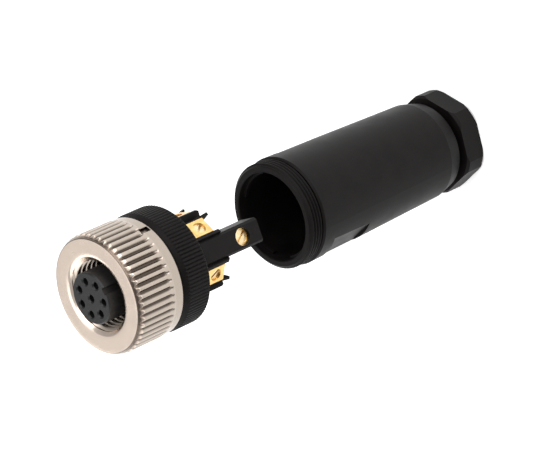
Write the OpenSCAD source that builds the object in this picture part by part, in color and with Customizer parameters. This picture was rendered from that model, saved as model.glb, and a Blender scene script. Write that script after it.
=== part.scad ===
// Field-attachable M12 cable socket: A-coded, 8 poles, screw terminals, drawn open for wiring.
// It stands on its cable gland with the mating face up. Z is the connector's axis, z = 0 is the
// gland nut's end face, and the front unit is lifted out of the housing by draw_out.
// Heights in the front unit are counted from the union ring's rear face, upwards.

/* [Layout] */
// Distance that the front unit is drawn out of the screwed-together position
draw_out = 25.2; // [22:0.1:30]
// Angle of the coding slot about the axis
key_angle = 38; // [0:1:359]
// Angle from the coding slot to the long arm of the centre terminal
arm_turn = -11; // [-12:1:4]
// Axial gap left between the housing's shoulder and the union ring when closed
seat_gap = 0.5; // [0.3:0.1:1]
// Gap between two plastic pieces of one unit
fit_gap = 0.05; // [0.03:0.01:0.1]
// Radial gap between pieces that turn or slide on each other
run_gap = 0.15; // [0.1:0.01:0.25]

/* [Coupling nut] */
// Length of the nut
nut_len = 9.1; // [8.8:0.1:10.5]
// Major radius of the internal thread
nut_thread_r = 6; // [6:0.05:6.2]
// Depth of the internal thread's profile
nut_thread_depth = 0.54; // [0.4:0.02:0.6]
// Pitch of the internal thread
nut_pitch = 1; // [0.9:0.05:1.1]
// Turns of internal thread
nut_turns = 5; // [3:1:5]
// Thickness of the lip that holds the nut on the insert
nut_lip = 1.5; // [1:0.1:1.8]
// Length of the bevel round the nut's front edge
nut_bevel = 0.85; // [0.6:0.05:1.2]
// Width of the bevel inside the nut's mouth
nut_lead_in = 0.5; // [0.4:0.05:1]
// Smooth collar behind the knurl
nut_collar = 1.8; // [1.2:0.1:2.4]
// Grooves round the nut
nut_grooves = 50; // [40:1:60]
// Depth of a groove
nut_groove_depth = 0.32; // [0.2:0.02:0.4]
// Axial gap between the nut and the union ring
nut_gap = 0.4; // [0.3:0.05:0.8]

/* [Contact insert] */
// Radius of the insert
insert_r = 4.2; // [4:0.05:4.3]
// Height of the insert's face above the nut's face
insert_reach = 1.1; // [0:0.1:2]
// Radius of the flange that carries the coupling nut
flange_r = 5.2; // [5.1:0.02:5.3]
// Thickness of that flange
flange_h = 1.1; // [0.8:0.05:1.2]
// Radius of the circle of seven contacts
contact_circle_r = 2.75; // [2.7:0.05:2.8]
// Width of the coding slot
key_w = 1.15; // [0.9:0.05:1.3]
// Depth of the coding slot
key_depth = 0.6; // [0.4:0.05:0.7]
// Cord radius of the face seal
face_seal_r = 0.48; // [0.4:0.02:0.5]

/* [Contacts] */
// Outer radius of a contact tube
contact_r = 0.72; // [0.65:0.01:0.75]
// Radius of a contact's socket bore
socket_r = 0.42; // [0.4:0.01:0.46]
// Depth of a contact's socket bore
socket_depth = 5; // [4:0.1:6]
// Depth of the contact tips below the insert's face
tip_depth = 1.9; // [1.2:0.1:2.2]
// Width of a terminal block
block_w = 2.9; // [2.6:0.05:2.9]
// Length of a terminal block
block_len = 5.85; // [5.4:0.05:6]
// Radius from the axis to a terminal block's outer face
block_out_r = 6.5; // [6.3:0.05:6.6]
// Radial depth of a terminal block
block_deep = 2.6; // [2.4:0.05:2.6]
// Radius of a wire hole
wire_r = 0.7; // [0.5:0.05:0.8]
// Radius of an outer terminal screw
screw_r = 1; // [0.8:0.05:1.1]
// Radius of the centre terminal's screw
centre_screw_r = 1.2; // [1:0.05:1.3]
// Distance from a terminal block's rear end to its screw
screw_from_end = 1.75; // [1.6:0.05:2.4]
// Distance from the arm's tip to the centre terminal's screw
arm_screw_from_tip = 3.7; // [3.2:0.1:4.4]
// Depth of the screws below the blocks' outer faces
screw_sunk = 0.35; // [0.2:0.05:0.5]

/* [Terminal carrier] */
// Radius of the drum inside the union ring
drum_r = 6.9; // [6.8:0.02:6.95]
// Radius of the pilot that centres the housing
pilot_r = 7.3; // [7.2:0.02:7.35]
// Thickness of the flange that the union ring pulls on
carrier_flange_h = 1.2; // [1:0.05:1.3]
// Reach of the plain partition walls behind the union ring
wall_reach = 7.2; // [6.9:0.1:7.6]
// Reach of the raked partition walls behind the union ring
rake_reach = 7.4; // [7.2:0.05:8]
// Thickness of a partition wall
wall_t = 0.5; // [0.4:0.02:0.55]
// Angle from the arm to the terminals beside it
first_step = 37; // [37:0.5:40]
// Reach of the centre terminal's arm behind the union ring
arm_reach = 14.6; // [14.3:0.1:15.2]
// Width of that arm
arm_w = 4; // [3.9:0.02:4]
// Radius from the axis to the arm's outer face
arm_out_r = 6.3; // [6.25:0.01:6.35]

/* [Union ring] */
// Wall of the ring outside its thread, which also sets the coupling nut's radius
ring_wall = 0.65; // [0.6:0.05:1]
// Length of the ring
ring_len = 5.3; // [5.25:0.05:6]
// Ridges round the ring
ring_ridges = 100; // [80:4:120]
// Depth of the fine knurl
ring_knurl = 0.2; // [0.12:0.02:0.24]
// Thickness of the lip that pulls on the carrier
ring_lip = 0.75; // [0.6:0.05:0.9]
// Width of the ring's front bevel
ring_bevel = 0.9; // [0.4:0.05:1.2]

/* [Housing] */
// Length of the housing
housing_len = 37.4; // [36.8:0.1:44]
// Radius of the body at the shoulder
body_front_r = 9.2; // [9.1:0.05:9.5]
// Radius of the body at the rear
body_rear_r = 8.4; // [8.2:0.05:9]
// Height of the tapered rear collar
rear_taper_h = 3; // [1.5:0.1:3.5]
// Radius of the housing's rear end
rear_end_r = 7.75; // [7.6:0.05:8]
// Major radius of the external thread
house_thread_r = 8.95; // [8.8:0.01:9.05]
// Length of the external thread
house_thread_len = 2.8; // [2.6:0.1:3]
// Pitch of the external thread
house_pitch = 0.6; // [0.5:0.05:0.8]
// Depth of the external thread's profile
house_thread_depth = 0.36; // [0.24:0.02:0.4]
// Inner radius of the housing
house_bore_r = 7.5; // [7.45:0.01:7.6]
// Thickness of the web between the wiring space and the gland
web_t = 2; // [1.4:0.1:2.6]
// Radius of the hole in the web
web_hole_r = 5.2; // [4.8:0.1:5.6]
// Distance from the mouth to the ledge inside it
ledge_depth = 1.2; // [1.1:0.05:1.25]
// Height of the ledge
ledge_h = 0.7; // [0.5:0.05:0.8]
// Length of the wrench flats
flat_len = 8.7; // [6:0.1:10]
// Distance from the shoulder to the wrench flats
flat_from_shoulder = 2.9; // [1.5:0.1:4]
// Distance from the axis to a wrench flat
flat_r = 8.4; // [8.3:0.05:8.6]
// Angle of the wrench flats about the axis
flat_angle = -41; // [-90:1:90]

/* [Cable gland] */
// Width across the gland nut's flats
gland_af = 15.9; // [15.5:0.1:16.5]
// Radius over the gland nut's rounded corners
gland_corner_r = 8.65; // [8.5:0.05:8.9]
// Height of the gland nut's hexagon
gland_hex_h = 4.1; // [3:0.1:6]
// Angle of one flat of the hexagon about the axis
gland_angle = 20; // [0:1:59]
// Gap between the hexagon and the housing before the nut is tightened
gland_gap = 1; // [0.9:0.1:2]
// Radius of the cable hole in the gland nut
cable_r = 4.2; // [3.8:0.1:4.4]
// Major radius of the gland thread
gland_thread_r = 6.8; // [6.5:0.05:6.85]
// Length of the gland nut's threaded part
gland_thread_len = 7; // [5:0.1:8]
// Thickness of the thrust ring
thrust_h = 1.8; // [1.2:0.1:2.4]
// Inner radius of the rubber seal
seal_r = 3.3; // [3:0.1:3.6]

/* [Hidden] */

$fn = 72;
poles_round = 7;
overlap = 0.01;
// How far a cut passes beyond the face that it opens
past = 1;

// Heights in the housing
z_house = gland_hex_h + gland_gap;
z_mouth = z_house + housing_len;
z_shoulder = z_mouth - house_thread_len;

// Heights in the front unit, from the union ring's rear face
z_ring = z_shoulder + seat_gap + draw_out;
nut_back = ring_len + nut_gap;
nut_face = nut_back + nut_len;
insert_face = nut_face + insert_reach;
flange_low = nut_back + nut_lip + fit_gap * 2;
flange_top = flange_low + flange_h;
mouth_closed = house_thread_len - seat_gap;
ring_lip_low = ring_len - ring_lip;
carrier_flange_top = ring_lip_low - fit_gap * 2;
carrier_flange_low = carrier_flange_top - carrier_flange_h;
pilot_low = mouth_closed - ledge_depth + 0.2;
tip_z = insert_face - tip_depth;
spigot_low = 2.3;
block_top = -0.15;
arm_end_wall = 0.55;
arm_block_top = block_len + arm_end_wall - arm_reach;
arm_screw_z = arm_screw_from_tip - arm_reach;
block_screw_z = block_top - block_len + screw_from_end;
centre_turn = -4.5;

// Contact strips and screws
strip_h = 1.1;
strip_w = 1.1;
screw_len = 0.95;
wire_in = block_deep / 2 + 0.25;
wire_end_wall = 0.7;

// Radii
neck_r = 4.6;
nut_lip_r = neck_r + run_gap;
carrier_neck_r = 6.3;
ring_lip_r = carrier_neck_r + run_gap;
ring_bore_r = house_thread_r + run_gap;
grip_r = ring_bore_r + ring_wall;
carrier_flange_r = ring_bore_r - 2 * run_gap;
spigot_r = 3.9;
core_r = block_out_r - block_deep - fit_gap;
arm_plate_r = block_out_r - 1.2;
arm_in_r = 2.6;
stem_w = 2;
centre_block_r = arm_out_r - 0.55;
centre_bar_r = 3.9;
centre_rod_r = strip_w / 2 - 0.05;
ledge_r = drum_r + run_gap;
gland_bore_r = gland_thread_r + fit_gap * 2;
neck_gland_r = gland_thread_r - 0.5;

// Heights in the cable gland
gland_thread_low = z_house + 0.5;
thread_top = gland_thread_low + gland_thread_len;
thrust_low = thread_top + fit_gap;
seal_low = thrust_low + thrust_h + fit_gap;
wiring_floor = z_shoulder + seat_gap - arm_reach - 1.2;
web_low = wiring_floor - web_t;

// Turns of thread that fit on the housing between the shoulder and the mouth's edge
house_thread_start = 0.1;
mouth_edge = 0.2;
house_turns = floor((house_thread_len - house_thread_start - mouth_edge) / house_pitch);

// Angles of the seven outer contacts: evenly spaced, with a wider step across the coding slot
key_step = 60;
other_step = (360 - key_step) / (poles_round - 1);
term_step = (360 - 2 * first_step) / (poles_round - 1);
arm_angle = key_angle + arm_turn;
function contact_angle(i) = key_angle + key_step / 2 + other_step * i;
function term_angle(i) = arm_angle + first_step + term_step * i;
function polar(r, a) = [r * cos(a), r * sin(a)];

// Shared shapes

// A ring or disc about the axis between two heights
module tube(low, high, r_out, r_in = 0) {
    translate([0, 0, low])
        difference() {
            cylinder(h = high - low, r = r_out);
            if (r_in > 0)
                translate([0, 0, -past])
                    cylinder(h = high - low + 2 * past, r = r_in);
        }
}

// Places its children in the front unit
module front_unit() {
    translate([0, 0, z_ring]) children();
}

// Rounded grooves between narrow lands: each point of a period has its place and its depth
knurl_period = [[-0.16, 0], [0, -0.04], [0.16, 0], [0.27, 0.6], [0.4, 1], [0.6, 1], [0.73, 0.6]];
function knurl_points(r, depth, count) = [
    for (i = [0:count - 1])
        each [for (k = knurl_period) polar(r - depth * k[1], 360 / count * (i + k[0]))]
];

// Coupling nut

// The nut's section: bevelled front edge and mouth, annular thread turns, relief and rear lip
module coupling_section() {
    minor_r = nut_thread_r - nut_thread_depth;
    thread_top_z = nut_face - nut_lead_in;
    turns = [for (i = [0:nut_turns - 1])
        each [[nut_thread_r, thread_top_z - nut_pitch * i],
              [minor_r, thread_top_z - nut_pitch * (i + 0.42)],
              [minor_r, thread_top_z - nut_pitch * (i + 0.55)]]];
    edge = 0.15;
    rear_edge = 0.25;
    collar_r = grip_r - 0.1;
    bevel_in = grip_r - nut_bevel * 0.45;
    polygon(concat(
        [[nut_lip_r, nut_back], [collar_r - rear_edge, nut_back], [collar_r, nut_back + rear_edge],
         [collar_r, nut_back + nut_collar], [grip_r, nut_back + nut_collar],
         [grip_r, nut_face - nut_bevel], [bevel_in, nut_face - edge], [bevel_in - edge, nut_face],
         [nut_thread_r + nut_lead_in, nut_face]],
        turns,
        [[nut_thread_r, thread_top_z - nut_pitch * nut_turns],
         [nut_thread_r, nut_back + nut_lip], [nut_lip_r, nut_back + nut_lip]]));
}

module coupling_nut() {
    knurl_low = nut_back + nut_collar;
    knurl_phase = 3.4;
    crest_cut = 0.03;
    notch_angle = 75;
    notch_w = 1;
    color("tan") front_unit()
        difference() {
            rotate_extrude() coupling_section();
            translate([0, 0, knurl_low])
                linear_extrude(nut_face + past - knurl_low)
                    difference() {
                        circle(r = grip_r + past);
                        rotate(knurl_phase)
                            polygon(knurl_points(grip_r - crest_cut, nut_groove_depth, nut_grooves));
                    }
            rotate(notch_angle)
                translate([grip_r - 0.4, -notch_w / 2, nut_back + 0.35])
                    cube([past, notch_w, nut_collar]);
        }
}

// Contact insert, its seal and the contacts

// The coding slot, cut along the insert from its face to just above the flange
module key_slot() {
    low = flange_top + 0.3;
    rotate(key_angle)
        translate([insert_r - key_depth, -key_w / 2, low])
            cube([key_depth + past, key_w, insert_face - low + past]);
}

module contact_insert() {
    edge = 0.2;
    hole_r = socket_r + 0.16;
    color("dimgray") front_unit()
        difference() {
            rotate_extrude()
                polygon([[0, spigot_low], [spigot_r, spigot_low],
                         [spigot_r, ring_len - fit_gap], [neck_r, ring_len - fit_gap],
                         [neck_r, flange_low], [flange_r, flange_low],
                         [flange_r, flange_top], [insert_r, flange_top],
                         [insert_r, insert_face - edge], [insert_r - edge, insert_face],
                         [0, insert_face]]);
            key_slot();
            for (i = [0:poles_round])
                translate(concat(i < poles_round
                    ? polar(contact_circle_r, contact_angle(i)) : [0, 0], [0])) {
                    tube(spigot_low - past, tip_z + fit_gap, contact_r + fit_gap);
                    tube(tip_z, insert_face + past, hole_r);
                    translate([0, 0, insert_face - 0.2])
                        cylinder(h = 0.2 + overlap, r1 = hole_r, r2 = hole_r + 0.2);
                }
        }
}

module face_seal() {
    color("black") front_unit()
        translate([0, 0, flange_top + face_seal_r])
            rotate_extrude()
                translate([insert_r + face_seal_r + fit_gap, 0])
                    circle(r = face_seal_r, $fn = 24);
}

// A terminal block standing off the axis at an angle, grown on all sides by extra
module block(angle, out_r, high, extra = 0) {
    rotate(angle)
        translate([out_r - block_deep - extra, -block_w / 2 - extra, high - block_len - extra])
            cube([block_deep + 2 * extra, block_w + 2 * extra, block_len + 2 * extra]);
}

// The strip that leads from a contact tube outwards to its block
module strip(from, to, high, extra = 0) {
    along = (to - from) / norm(to - from);
    side = [-along[1], along[0]] * (strip_w / 2 + extra);
    translate([0, 0, high - strip_h - extra])
        linear_extrude(strip_h + 2 * extra)
            polygon([from + side, from - side, to - side, to + side]);
}

// An outer contact: socket tube, strip and terminal block, or the room that they need
module contact_body(i, extra = 0) {
    at = polar(contact_circle_r, contact_angle(i));
    translate(concat(at, [0]))
        tube(block_top - strip_h - extra, tip_z + extra, contact_r + extra);
    strip(at, polar(block_out_r - block_deep + strip_h / 2, term_angle(i)), block_top, extra);
    block(term_angle(i), block_out_r, block_top, extra);
}

// The centre contact runs back through the core, turns out and follows the arm to its block
module centre_contact_body(extra = 0) {
    tube(centre_turn - strip_h - extra, tip_z + extra, contact_r + extra);
    strip([0, 0], polar(centre_bar_r + strip_h / 2, arm_angle), centre_turn, extra);
    rotate(arm_angle)
        translate([centre_bar_r, 0, arm_block_top - strip_h])
            cylinder(h = centre_turn - arm_block_top + strip_h / 2, r = centre_rod_r + extra, $fn = 32);
    block(arm_angle, centre_block_r, arm_block_top, extra);
}

// Wire hole and screw hole of a terminal block
module block_holes(angle, out_r, high, screw_z, hole_r) {
    rotate(angle) {
        translate([out_r - wire_in, 0, high - block_len - past])
            cylinder(h = block_len - wire_end_wall + past, r = wire_r, $fn = 32);
        translate([out_r - wire_in, 0, screw_z])
            rotate([0, 90, 0])
                cylinder(h = wire_in + past, r = hole_r, $fn = 40);
    }
}

module contact(i) {
    color("goldenrod") front_unit()
        difference() {
            contact_body(i);
            translate(concat(polar(contact_circle_r, contact_angle(i)), [0]))
                tube(tip_z - socket_depth, tip_z + past, socket_r);
            block_holes(term_angle(i), block_out_r, block_top, block_screw_z, screw_r + fit_gap / 2);
        }
}

module centre_contact() {
    color("goldenrod") front_unit()
        difference() {
            centre_contact_body();
            tube(tip_z - socket_depth, tip_z + past, socket_r);
            block_holes(arm_angle, centre_block_r, arm_block_top, arm_screw_z, centre_screw_r + fit_gap / 2);
        }
}

// A slotted grub screw, lying along +X with its slotted end at x = 0
module grub_screw(r, length) {
    slot_w = 0.36;
    slot_deep = 0.4;
    difference() {
        rotate([0, -90, 0]) cylinder(h = length, r = r, $fn = 40);
        rotate([35, 0, 0])
            translate([-slot_deep, -slot_w / 2, -r - past])
                cube([slot_deep + past, slot_w, 2 * (r + past)]);
    }
}

module terminal_screws() {
    color("goldenrod") front_unit() {
        for (i = [0:poles_round - 1])
            rotate(term_angle(i))
                translate([block_out_r - screw_sunk, 0, block_screw_z])
                    grub_screw(screw_r, screw_len);
        rotate(arm_angle)
            translate([centre_block_r - screw_sunk / 2, 0, arm_screw_z])
                grub_screw(centre_screw_r, screw_len);
    }
}

// Terminal carrier

// A thin wall beside a terminal: on_side is 1 or -1, raked walls end in an outward tip
module partition(angle, on_side, raked) {
    wall_side = block_w / 2 + fit_gap;
    // The wall's outer corner stays inside the drum's radius, so that it passes the housing's ledges
    wall_r = sqrt(pow(drum_r, 2) - pow(wall_side + wall_t, 2));
    outline = raked
        ? [[core_r - 0.3, 0], [wall_r - 0.55, 0], [wall_r - 0.6, -wall_reach * 0.68],
           [wall_r, -rake_reach], [wall_r - 0.25, -rake_reach], [core_r - 0.3, -wall_reach * 0.8]]
        : [[core_r - 0.3, 0], [wall_r - 0.1, 0], [wall_r - 0.1, -wall_reach + 0.4],
           [wall_r - 0.35, -wall_reach], [core_r - 0.3, -wall_reach]];
    rotate(angle)
        translate([0, on_side * wall_side + (on_side < 0 ? 0 : wall_t), 0])
            rotate([90, 0, 0])
                linear_extrude(wall_t)
                    polygon(outline);
}

// The long arm for the centre terminal: a stem, an outer plate, and a thick end for the block
module arm() {
    edge = 0.35;
    root = 0.3;
    rotate(arm_angle) {
        translate([core_r - 0.4, -stem_w / 2, -wall_reach])
            cube([arm_plate_r - core_r + 0.6, stem_w, wall_reach]);
        translate([0, 0, -arm_reach])
            linear_extrude(arm_reach)
                polygon([[arm_plate_r, -arm_w / 2], [arm_out_r - edge, -arm_w / 2],
                         [arm_out_r, -arm_w / 2 + edge], [arm_out_r, arm_w / 2 - edge],
                         [arm_out_r - edge, arm_w / 2], [arm_plate_r, arm_w / 2]]);
        translate([arm_in_r, -arm_w / 2, -arm_reach])
            cube([arm_plate_r - arm_in_r + overlap, arm_w, arm_reach - wall_reach + root]);
    }
}

module terminal_carrier() {
    color("dimgray") front_unit()
        difference() {
            union() {
                rotate_extrude()
                    polygon([[0, 0], [drum_r, 0], [drum_r, pilot_low], [pilot_r - 0.15, pilot_low],
                             [pilot_r, pilot_low + 0.2], [pilot_r, carrier_flange_low],
                             [carrier_flange_r, carrier_flange_low],
                             [carrier_flange_r, carrier_flange_top],
                             [carrier_neck_r, carrier_flange_top],
                             [carrier_neck_r, ring_len - 2 * fit_gap],
                             [0, ring_len - 2 * fit_gap]]);
                tube(-wall_reach, overlap, core_r);
                for (i = [0:poles_round - 1]) {
                    rakes_up = i < poles_round / 2;
                    partition(term_angle(i), 1, rakes_up);
                    partition(term_angle(i), -1, !rakes_up);
                }
                arm();
            }
            tube(spigot_low - fit_gap, ring_len + past, spigot_r + fit_gap);
            for (i = [0:poles_round - 1]) contact_body(i, fit_gap);
            centre_contact_body(fit_gap);
            rotate(arm_angle) {
                translate([0, 0, arm_screw_z])
                    rotate([0, 90, 0])
                        translate([0, 0, centre_block_r])
                            cylinder(h = arm_out_r, r = centre_screw_r + 0.25, $fn = 48);
                translate([centre_block_r - wire_in, 0, -arm_reach - past])
                    cylinder(h = arm_end_wall + 2 * past, r = wire_r + 0.2, $fn = 32);
            }
        }
}

// Union ring and the seal that it presses

module union_ring() {
    rear_edge = 0.3;
    color("dimgray") front_unit()
        intersection() {
            linear_extrude(ring_len)
                polygon([for (i = [0:ring_ridges - 1])
                    each [polar(grip_r - ring_knurl, 360 / ring_ridges * (i - 0.5)),
                          polar(grip_r, 360 / ring_ridges * (i - 0.12)),
                          polar(grip_r, 360 / ring_ridges * (i + 0.12))]]);
            rotate_extrude()
                polygon([[ring_bore_r, 0], [grip_r - rear_edge, 0], [grip_r, rear_edge],
                         [grip_r, ring_len - ring_bevel], [grip_r - ring_bevel * 0.6, ring_len],
                         [ring_lip_r, ring_len], [ring_lip_r, ring_lip_low],
                         [ring_bore_r, ring_lip_low]]);
        }
}

module housing_seal() {
    color("black") front_unit()
        tube(mouth_closed + fit_gap, carrier_flange_low - fit_gap,
             carrier_flange_r - 0.1, pilot_r + fit_gap);
}

// Housing

// Outline of the housing's outer face, from the rear end to the mouth
function housing_outer() = let (root_r = house_thread_r - house_thread_depth, edge = 0.3) concat(
    [[gland_bore_r, z_house], [rear_end_r - edge, z_house], [rear_end_r, z_house + edge],
     [body_rear_r, z_house + rear_taper_h], [body_front_r, z_shoulder - edge],
     [body_front_r - edge, z_shoulder], [root_r, z_shoulder]],
    [for (i = [0:house_turns - 1])
        let (z = z_shoulder + house_thread_start + house_pitch * i)
            each [[root_r, z], [house_thread_r, z + house_pitch * 0.42],
                  [house_thread_r, z + house_pitch * 0.58], [root_r, z + house_pitch]]],
    [[root_r, z_mouth - mouth_edge], [root_r - mouth_edge, z_mouth]]);

module wrench_flat(angle) {
    rotate(angle)
        translate([flat_r, -body_front_r, z_shoulder - flat_from_shoulder - flat_len])
            cube([body_front_r, 2 * body_front_r, flat_len]);
}

module housing() {
    ledges = 4;
    ledge_arc = 58;
    ledge_phase = 145;
    color("dimgray") {
        difference() {
            rotate_extrude()
                polygon(concat(housing_outer(),
                    [[house_bore_r + 0.15, z_mouth], [house_bore_r, z_mouth - 0.15],
                     [house_bore_r, wiring_floor], [web_hole_r, wiring_floor],
                     [web_hole_r, web_low], [gland_bore_r, web_low]]));
            wrench_flat(flat_angle);
            wrench_flat(flat_angle + 180);
        }
        for (i = [0:ledges - 1])
            rotate(ledge_phase - ledge_arc / 2 + 360 / ledges * i)
                translate([0, 0, z_mouth - ledge_depth])
                    rotate_extrude(angle = ledge_arc)
                        polygon([[ledge_r, 0], [house_bore_r + 0.2, 0],
                                 [house_bore_r + 0.2, -ledge_h - 0.3], [house_bore_r, -ledge_h - 0.3],
                                 [ledge_r, -ledge_h]]);
    }
}

// Cable gland

module gland_seal() {
    color("black")
        rotate_extrude()
            polygon([[seal_r + 0.5, seal_low], [gland_bore_r - run_gap, seal_low],
                     [gland_bore_r - run_gap, web_low - fit_gap], [seal_r + 0.5, web_low - fit_gap],
                     [seal_r, web_low - 1], [seal_r, seal_low + 1]]);
}

module thrust_ring() {
    color("gray")
        tube(thrust_low, thrust_low + thrust_h, gland_thread_r - fit_gap, cable_r + 0.1);
}

module gland_nut() {
    edge = 0.4;
    color("dimgray")
        difference() {
            union() {
                intersection() {
                    rotate(gland_angle + 30)
                        cylinder(h = gland_hex_h, r = gland_af / 2 / cos(30), $fn = 6);
                    rotate_extrude()
                        polygon([[0, 0], [gland_corner_r - edge, 0], [gland_corner_r, edge],
                                 [gland_corner_r, gland_hex_h - edge],
                                 [gland_corner_r - edge, gland_hex_h], [0, gland_hex_h]]);
                }
                rotate_extrude()
                    polygon([[0, gland_hex_h - overlap], [neck_gland_r, gland_hex_h - overlap],
                             [neck_gland_r, gland_thread_low],
                             [gland_thread_r, gland_thread_low + 0.5],
                             [gland_thread_r, thread_top - 0.4],
                             [gland_thread_r - 0.4, thread_top], [0, thread_top]]);
            }
            tube(-past, thread_top + past, cable_r);
            translate([0, 0, -overlap])
                cylinder(h = 0.8, r1 = cable_r + 0.8, r2 = cable_r);
        }
}

coupling_nut();
contact_insert();
face_seal();
terminal_carrier();
contact(0);  // contact_1
contact(1);  // contact_2
contact(2);  // contact_3
contact(3);  // contact_4
contact(4);  // contact_5
contact(5);  // contact_6
contact(6);  // contact_7
centre_contact();  // contact_8
terminal_screws();
union_ring();
housing_seal();
housing();
gland_seal();
thrust_ring();
gland_nut();
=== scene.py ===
import math
import bpy
from mathutils import Matrix, Vector


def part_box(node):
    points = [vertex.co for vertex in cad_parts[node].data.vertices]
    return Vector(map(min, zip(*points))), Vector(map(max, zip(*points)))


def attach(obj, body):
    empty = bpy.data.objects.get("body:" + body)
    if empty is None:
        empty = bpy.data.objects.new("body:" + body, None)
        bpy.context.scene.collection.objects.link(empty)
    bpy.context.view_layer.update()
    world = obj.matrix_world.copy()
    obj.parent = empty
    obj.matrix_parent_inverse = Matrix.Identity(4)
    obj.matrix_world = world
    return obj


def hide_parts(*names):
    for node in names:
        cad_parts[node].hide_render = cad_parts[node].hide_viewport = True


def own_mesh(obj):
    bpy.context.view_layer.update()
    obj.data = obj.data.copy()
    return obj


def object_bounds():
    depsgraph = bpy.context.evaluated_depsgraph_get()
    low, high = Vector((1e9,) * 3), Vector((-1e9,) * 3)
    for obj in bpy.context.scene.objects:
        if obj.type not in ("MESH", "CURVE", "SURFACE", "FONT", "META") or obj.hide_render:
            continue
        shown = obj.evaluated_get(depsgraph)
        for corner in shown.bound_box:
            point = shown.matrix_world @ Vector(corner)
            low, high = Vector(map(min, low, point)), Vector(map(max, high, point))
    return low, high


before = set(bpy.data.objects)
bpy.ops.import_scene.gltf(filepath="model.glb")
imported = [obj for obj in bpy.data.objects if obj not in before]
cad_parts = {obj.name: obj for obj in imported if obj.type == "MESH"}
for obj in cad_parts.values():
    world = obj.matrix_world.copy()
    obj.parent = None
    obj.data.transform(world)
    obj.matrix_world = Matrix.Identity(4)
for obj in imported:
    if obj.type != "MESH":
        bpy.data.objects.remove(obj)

MM = 0.001
cad_low, cad_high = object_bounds()


# Camera
# The connector is seen from the front and to one side of its axis, with +Y upwards in the view.
# The camera stands 400 mm from the plane through the coupling nut's front face.
def add_camera():
    distance = 400 * MM
    turn = math.radians(44.61)
    tilt = math.radians(26.74)
    face_left = 26.27 * MM
    face_below = 10.82 * MM
    face = Vector((0, 0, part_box("coupling_nut")[1][2]))
    right = Vector((math.cos(turn), 0, -math.sin(turn)))
    ahead = -Vector((math.cos(tilt) * math.sin(turn), math.sin(tilt), math.cos(tilt) * math.cos(turn)))
    up = right.cross(ahead)
    data = bpy.data.cameras.new("camera")
    data.lens = 176.2
    data.sensor_width = 36
    data.clip_end = 20
    camera = bpy.data.objects.new("camera", data)
    place = face - distance * ahead + face_left * right + face_below * up
    camera.matrix_world = Matrix.Translation(place) @ Matrix((right, up, -ahead)).transposed().to_4x4()
    bpy.context.scene.collection.objects.link(camera)
    bpy.context.scene.camera = camera


add_camera()


# Floor and light
# A pale matt floor that glows a little, under an even light-grey surround, and five soft panels:
# beside and above the mating face, low down under the connector's side, high over it, and one on
# the upper right that catches the nut's front edge.
def new_material(name):
    material = bpy.data.materials.new(name)
    material.use_nodes = True
    nodes = material.node_tree.nodes
    return material, nodes, material.node_tree.links, nodes["Principled BSDF"]


def floor_paint():
    material, _, _, shader = new_material("floor_paint")
    shader.inputs["Base Color"].default_value = (0.93, 0.93, 0.93, 1)
    shader.inputs["Roughness"].default_value = 0.9
    shader.inputs["Specular IOR Level"].default_value = 0.1
    shader.inputs["Emission Color"].default_value = (1, 1, 1, 1)
    shader.inputs["Emission Strength"].default_value = 0.35
    return material


def add_floor():
    half = 2.5
    mesh = bpy.data.meshes.new("floor")
    corners = [(-half, -half, 0), (half, -half, 0), (half, half, 0), (-half, half, 0)]
    mesh.from_pydata(corners, [], [(0, 1, 2, 3)])
    mesh.materials.append(floor_paint())
    floor = bpy.data.objects.new("floor", mesh)
    bpy.context.scene.collection.objects.link(floor)


def add_panel(name, place, target, size, brightness):
    """A soft rectangular light of a given surface brightness, facing a target; sizes in metres."""
    data = bpy.data.lights.new(name, "AREA")
    data.shape = "RECTANGLE"
    data.size, data.size_y = size
    data.energy = brightness * math.pi * size[0] * size[1]
    panel = bpy.data.objects.new(name, data)
    panel.visible_camera = False
    panel.location = Vector(place)
    panel.rotation_euler = (Vector(target) - panel.location).to_track_quat("-Z", "Y").to_euler()
    bpy.context.scene.collection.objects.link(panel)


def add_surround():
    world = bpy.data.worlds.new("surround")
    world.use_nodes = True
    shader = world.node_tree.nodes["Background"]
    shader.inputs["Color"].default_value = (1, 1, 1, 1)
    shader.inputs["Strength"].default_value = 0.45
    bpy.context.scene.world = world


mating_face = (0, 0, cad_high[2])
add_floor()
add_surround()
add_panel("panel_beside", (-0.35, -0.25, 0.45), mating_face, (0.45, 0.45), 0.35)
add_panel("panel_above", (0.02, 0.35, 0.45), mating_face, (0.5, 0.3), 2.4)
add_panel("panel_low", (-0.04, -0.26, 0.16), (-0.06, -0.06, 0.02), (0.6, 0.2), 1.4)
add_panel("panel_top", (-0.1, 0, 0.9), (-0.1, 0, 0), (0.9, 0.9), 1.3)
add_panel("panel_edge", (0.12, 0.4, 0.11), (0, 0, 0.07), (0.5, 0.18), 3)
bpy.context.scene.view_settings.view_transform = "Standard"


# Coupling nut
# Turned from brass, with wide grooves milled up to a smooth rear collar, a bevelled front edge, a
# wide mouth bevel and a right-hand thread inside, all under bright nickel plating. It turns freely.
def radius_and_height(nodes, links):
    """The distance from the connector's axis and the height along it, as two node outputs."""
    place = nodes.new("ShaderNodeTexCoord")
    parts = nodes.new("ShaderNodeSeparateXYZ")
    links.new(place.outputs["Object"], parts.inputs[0])
    flat = nodes.new("ShaderNodeCombineXYZ")
    links.new(parts.outputs["X"], flat.inputs["X"])
    links.new(parts.outputs["Y"], flat.inputs["Y"])
    length = nodes.new("ShaderNodeVectorMath")
    length.operation = "LENGTH"
    links.new(flat.outputs[0], length.inputs[0])
    return length.outputs["Value"], parts.outputs["Z"]


def noise(nodes, links, scale, detail=3, vector=None):
    texture = nodes.new("ShaderNodeTexNoise")
    texture.inputs["Scale"].default_value = scale
    texture.inputs["Detail"].default_value = detail
    if vector is None:
        vector = nodes.new("ShaderNodeTexCoord").outputs["Object"]
    links.new(vector, texture.inputs["Vector"])
    return texture.outputs["Fac"]


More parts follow.
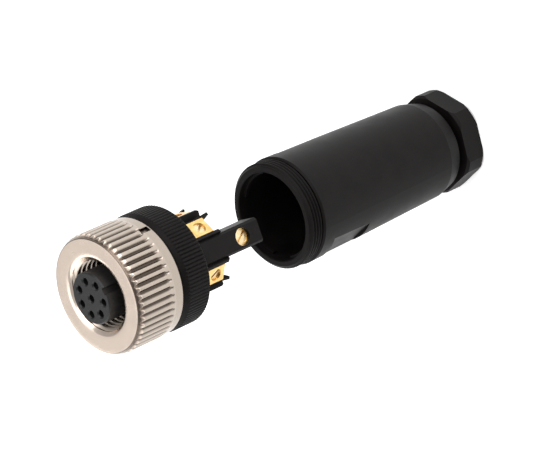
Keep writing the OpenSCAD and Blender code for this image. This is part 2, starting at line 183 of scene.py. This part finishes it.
def ramp(nodes, links, value, low, high, colour_low, colour_high):
    mix = nodes.new("ShaderNodeValToRGB")
    mix.color_ramp.elements[0].position = low
    mix.color_ramp.elements[0].color = (*colour_low, 1)
    mix.color_ramp.elements[1].position = high
    mix.color_ramp.elements[1].color = (*colour_high, 1)
    links.new(value, mix.inputs["Fac"])
    return mix.outputs["Color"]


def remap(nodes, links, value, from_low, from_high, to_low, to_high):
    change = nodes.new("ShaderNodeMapRange")
    ends = {"From Min": from_low, "From Max": from_high, "To Min": to_low, "To Max": to_high}
    for name, number in ends.items():
        change.inputs[name].default_value = number
    links.new(value, change.inputs["Value"])
    return change.outputs["Result"]


def add_bump(nodes, links, shader, height, depth, below=None):
    bump = nodes.new("ShaderNodeBump")
    bump.inputs["Strength"].default_value = 1
    bump.inputs["Distance"].default_value = depth
    links.new(height, bump.inputs["Height"])
    if below is not None:
        links.new(below, bump.inputs["Normal"])
    links.new(bump.outputs["Normal"], shader.inputs["Normal"])
    return bump.outputs["Normal"]


def nickel_plate(groove_depth):
    """Bright on the front and the ridges, with a darker copy of the colour on the grip as painted shade, and
    painted shade darkening the grooves.
    """
    ridge = 0.02 * MM
    bore_wall = (0.5 * MM, 0.6 * MM)
    grip_front = (0.8 * MM, 1.1 * MM)
    material, nodes, links, shader = new_material("nickel_plate")
    shader.inputs["Metallic"].default_value = 1
    radius, height = radius_and_height(nodes, links)
    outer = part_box("coupling_nut")[1][0]
    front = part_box("coupling_nut")[1][2]
    # Painted shade: the colour darkens towards the groove bottoms, by the distance from the axis; the bore
    # and face stay unshaded.
    above_groove = remap(nodes, links, radius, outer - groove_depth, outer - ridge, 0, 1)
    within = remap(nodes, links, radius, outer - bore_wall[1], outer - bore_wall[0], 1, 0)
    unshaded = nodes.new("ShaderNodeMath")
    unshaded.operation = "MAXIMUM"
    links.new(above_groove, unshaded.inputs[0])
    links.new(within, unshaded.inputs[1])
    bright = ramp(nodes, links, unshaded.outputs[0], 0.1, 0.9, (0.16, 0.125, 0.1), (0.82, 0.69, 0.59))
    # Painted shade: behind the front edge the nut takes this darker copy of the same nickel colours.
    shaded_grip = ramp(nodes, links, unshaded.outputs[0], 0.1, 0.9, (0.07, 0.055, 0.045), (0.4, 0.345, 0.295))
    on_grip = remap(nodes, links, height, front - grip_front[1], front - grip_front[0], 1, 0)
    tint = nodes.new("ShaderNodeMixRGB")
    links.new(on_grip, tint.inputs["Fac"])
    links.new(bright, tint.inputs["Color1"])
    links.new(shaded_grip, tint.inputs["Color2"])
    links.new(tint.outputs["Color"], shader.inputs["Base Color"])
    links.new(remap(nodes, links, noise(nodes, links, 500), 0.3, 0.7, 0.2, 0.28), shader.inputs["Roughness"])
    rings = nodes.new("ShaderNodeCombineXYZ")
    links.new(radius, rings.inputs["X"])
    links.new(height, rings.inputs["Y"])
    add_bump(nodes, links, shader, noise(nodes, links, 4000, 2, rings.outputs[0]), 0.0012 * MM)
    return material


def smooth_step(value, low, high):
    part = min(1, max(0, (value - low) / (high - low)))
    return part * part * (3 - 2 * part)


def spaced(start, end, steps):
    return [start + (end - start) * i / steps for i in range(steps)]


def lathe_grid(name, rows, columns, radius_at, material):
    """A closed shell round the axis: one ring of points for each row of its section."""
    points = []
    for row in rows:
        for j in range(columns):
            angle = 2 * math.pi * j / columns
            radius, height = radius_at(row, angle)
            points.append((radius * math.cos(angle) * MM, radius * math.sin(angle) * MM, height * MM))
    faces = []
    for i in range(len(rows)):
        above = (i + 1) % len(rows)
        for j in range(columns):
            beside = (j + 1) % columns
            row, next_row = i * columns, above * columns
            faces.append((row + j, row + beside, next_row + beside, next_row + j))
    mesh = bpy.data.meshes.new(name)
    mesh.from_pydata(points, [], faces)
    mesh.materials.append(material)
    mesh.shade_smooth()
    mesh.set_sharp_from_angle(angle=math.radians(38))
    piece = bpy.data.objects.new(name, mesh)
    bpy.context.scene.collection.objects.link(piece)
    return piece


def knurled_nut():
    low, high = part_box("coupling_nut")
    outer_r = high[0] / MM
    back = low[2] / MM
    face = high[2] / MM
    collar = 1.8
    collar_drop = 0.08
    heel_w = 0.25
    grooves = 50
    columns_per_groove = 10
    groove_depth = 0.34
    groove_phase = math.radians(3.4)
    ridge_share, flank_share = 0.13, 0.42
    scoop = 1.3
    bevel_h = 0.95
    bevel_w = 0.42
    thread_r = 6
    thread_depth = 0.54
    pitch = 1
    thread_turns = 5
    thread_rows = 64
    mouth_bevel = 0.45
    lip_h = 1.5
    lip_r = 4.75
    notch_angle = math.radians(75)
    notch_half_w, notch_depth = 0.5, 0.45
    notch_from, notch_to = 0.35, 2.1
    edge = 0.12

    def groove_cut(angle, height):
        turn = ((angle - groove_phase) * grooves / (2 * math.pi)) % 1
        from_ridge = min(turn, 1 - turn)
        depth = groove_depth * smooth_step(from_ridge, ridge_share, flank_share)
        rise = max(0, (back + collar + scoop - height) / scoop)
        return max(0, depth - groove_depth * 1.02 * rise * rise)

    def notch_cut(angle, height):
        beside = abs(angle - notch_angle) * outer_r < notch_half_w
        level = back + notch_from < height < back + notch_to
        return notch_depth if beside and level else 0

    def thread_radius(angle, height):
        turn = ((face - height) / pitch - angle / (2 * math.pi)) % 1
        tooth = smooth_step(turn, 0.05, 0.42) - smooth_step(turn, 0.55, 0.92)
        cone = thread_r + mouth_bevel - (face - height)
        return max(cone, thread_r - thread_depth * tooth)

    def radius_at(row, angle):
        kind, radius, height = row
        if kind == "outside":
            radius = min(radius, outer_r - groove_cut(angle, height)) - notch_cut(angle, height)
        elif kind == "thread":
            radius = thread_radius(angle, height)
        return radius, height

    # The section runs up the outside, over the bevel and the face, and down the threaded bore.
    collar_r = outer_r - collar_drop
    thread_low = face - mouth_bevel - thread_turns * pitch
    bevel_in = outer_r - bevel_w
    rows = [("plain", lip_r, back), ("plain", collar_r - heel_w, back),
            ("plain", collar_r - 0.08, back + 0.06), ("outside", collar_r, back + 0.22)]
    rows += [("outside", collar_r, z) for z in (back + 0.33, back + 0.37, back + 1)]
    rows += [("outside", collar_r, back + collar - 0.3), ("outside", collar_r + 0.02, back + collar - 0.15)]
    rows += [("outside", outer_r, z) for z in spaced(back + collar, back + collar + scoop, 14)]
    rows += [("outside", outer_r, z) for z in spaced(back + collar + scoop, face - bevel_h, 3)]
    rows += [("outside", outer_r - bevel_w * i / 10, face - bevel_h + (bevel_h - edge) * i / 10)
             for i in range(10)]
    rows += [("plain", bevel_in - edge * (1 - math.cos(t)), face - edge * (1 - math.sin(t)))
             for t in spaced(0, math.pi / 2, 4)]
    rows += [("plain", r, face) for r in spaced(bevel_in - edge, thread_r + mouth_bevel + 0.1, 4)]
    rows += [("plain", thread_r + mouth_bevel + 0.1, face), ("plain", thread_r + mouth_bevel, face - 0.05)]
    rows += [("thread", 0, z) for z in spaced(face - 0.12, thread_low, thread_rows)]
    rows += [("plain", thread_r, thread_low), ("plain", thread_r, back + lip_h)]
    rows += [("plain", lip_r, back + lip_h)]
    finish = nickel_plate(groove_depth * MM)
    nut = lathe_grid("knurled_nut", rows, grooves * columns_per_groove, radius_at, finish)
    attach(nut, "coupling_nut")
    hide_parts("coupling_nut")


knurled_nut()


# Contact insert and face seal
# The insert is a fine black moulding with eight contact holes and the coding slot. A rubber ring
# seals against the counterpart in front of its flange.
def insert_black():
    material, nodes, links, shader = new_material("insert_black")
    cloud = noise(nodes, links, 600)
    tint = ramp(nodes, links, cloud, 0.3, 0.7, (0.009, 0.009, 0.0095), (0.013, 0.013, 0.014))
    links.new(tint, shader.inputs["Base Color"])
    links.new(remap(nodes, links, cloud, 0.3, 0.7, 0.34, 0.44), shader.inputs["Roughness"])
    shader.inputs["Specular IOR Level"].default_value = 0.35
    add_bump(nodes, links, shader, noise(nodes, links, 5000), 0.006 * MM)
    return material


def seal_rubber():
    material, nodes, links, shader = new_material("seal_rubber")
    dust = noise(nodes, links, 1500)
    tint = ramp(nodes, links, dust, 0.35, 0.75, (0.012, 0.012, 0.012), (0.03, 0.03, 0.03))
    links.new(tint, shader.inputs["Base Color"])
    shader.inputs["Roughness"].default_value = 0.6
    add_bump(nodes, links, shader, noise(nodes, links, 4000), 0.008 * MM)
    return material


def finish_nodes(material, *names):
    for name in names:
        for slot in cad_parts[name].material_slots:
            slot.material = material


finish_nodes(insert_black(), "contact_insert")
finish_nodes(seal_rubber(), "face_seal", "housing_seal")


# Contacts and terminal screws
# Eight bright brass contacts, each a socket, a strip and a terminal block in one piece, with a
# slotted brass screw in every block.
def bright_brass(name, pale, deep, roughness):
    material, nodes, links, shader = new_material(name)
    shader.inputs["Metallic"].default_value = 1
    cloud = noise(nodes, links, 1200)
    links.new(ramp(nodes, links, cloud, 0.3, 0.7, deep, pale), shader.inputs["Base Color"])
    links.new(remap(nodes, links, cloud, 0.3, 0.7, roughness, roughness + 0.1), shader.inputs["Roughness"])
    add_bump(nodes, links, shader, noise(nodes, links, 7000), 0.006 * MM)
    return material


finish_nodes(bright_brass("contact_brass", (0.86, 0.6, 0.26), (0.68, 0.42, 0.15), 0.24),
             *[f"contact_{i}" for i in range(1, 9)])
finish_nodes(bright_brass("screw_brass", (0.84, 0.68, 0.42), (0.66, 0.5, 0.28), 0.28), "terminal_screws")


# Moulded body parts
# The carrier, the union ring, the housing and the gland nut are glass-filled polyamide with a
# satin skin and a very fine grain.
def moulded_black():
    material, nodes, links, shader = new_material("moulded_black")
    cloud = noise(nodes, links, 350)
    tint = ramp(nodes, links, cloud, 0.3, 0.7, (0.0046, 0.0038, 0.0036), (0.0074, 0.0062, 0.0058))
    links.new(tint, shader.inputs["Base Color"])
    links.new(remap(nodes, links, cloud, 0.3, 0.7, 0.42, 0.5), shader.inputs["Roughness"])
    shader.inputs["Specular IOR Level"].default_value = 0.1
    add_bump(nodes, links, shader, noise(nodes, links, 4000), 0.008 * MM)
    return material


finish_nodes(moulded_black(), "terminal_carrier", "union_ring", "housing", "gland_nut")


# Gland seal
# A moulded rubber sleeve with widened ends, which grips the cable.
def rubber_sleeve():
    low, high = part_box("gland_seal")
    outer_r = high[0] / MM
    bottom = low[2] / MM
    top = high[2] / MM
    bore_r = 3.3
    mouth = 0.5
    mouth_h = 1
    edge = 0.15
    columns = 96
    section = [(bore_r + mouth, bottom), (outer_r - edge, bottom), (outer_r, bottom + edge)]
    section += [(outer_r, z) for z in spaced(bottom + 1, top - 1, 4)]
    section += [(outer_r, top - edge), (outer_r - edge, top)]
    section += [(bore_r + mouth, top), (bore_r, top - mouth_h)]
    section += [(bore_r, z) for z in spaced(top - 1.5, bottom + 1.5, 4)]
    section += [(bore_r, bottom + mouth_h)]
    sleeve = lathe_grid("rubber_sleeve", section, columns, lambda row, angle: row, seal_rubber())
    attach(sleeve, "housing")
    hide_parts("gland_seal")
    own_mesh(sleeve)


rubber_sleeve()


# Thrust ring
# A grey slip washer between the gland nut and the rubber sleeve.
def ring_grey():
    material, nodes, links, shader = new_material("ring_grey")
    cloud = noise(nodes, links, 900)
    tint = ramp(nodes, links, cloud, 0.3, 0.7, (0.28, 0.28, 0.29), (0.36, 0.36, 0.37))
    links.new(tint, shader.inputs["Base Color"])
    shader.inputs["Roughness"].default_value = 0.45
    add_bump(nodes, links, shader, noise(nodes, links, 4000), 0.006 * MM)
    return material


finish_nodes(ring_grey(), "thrust_ring")
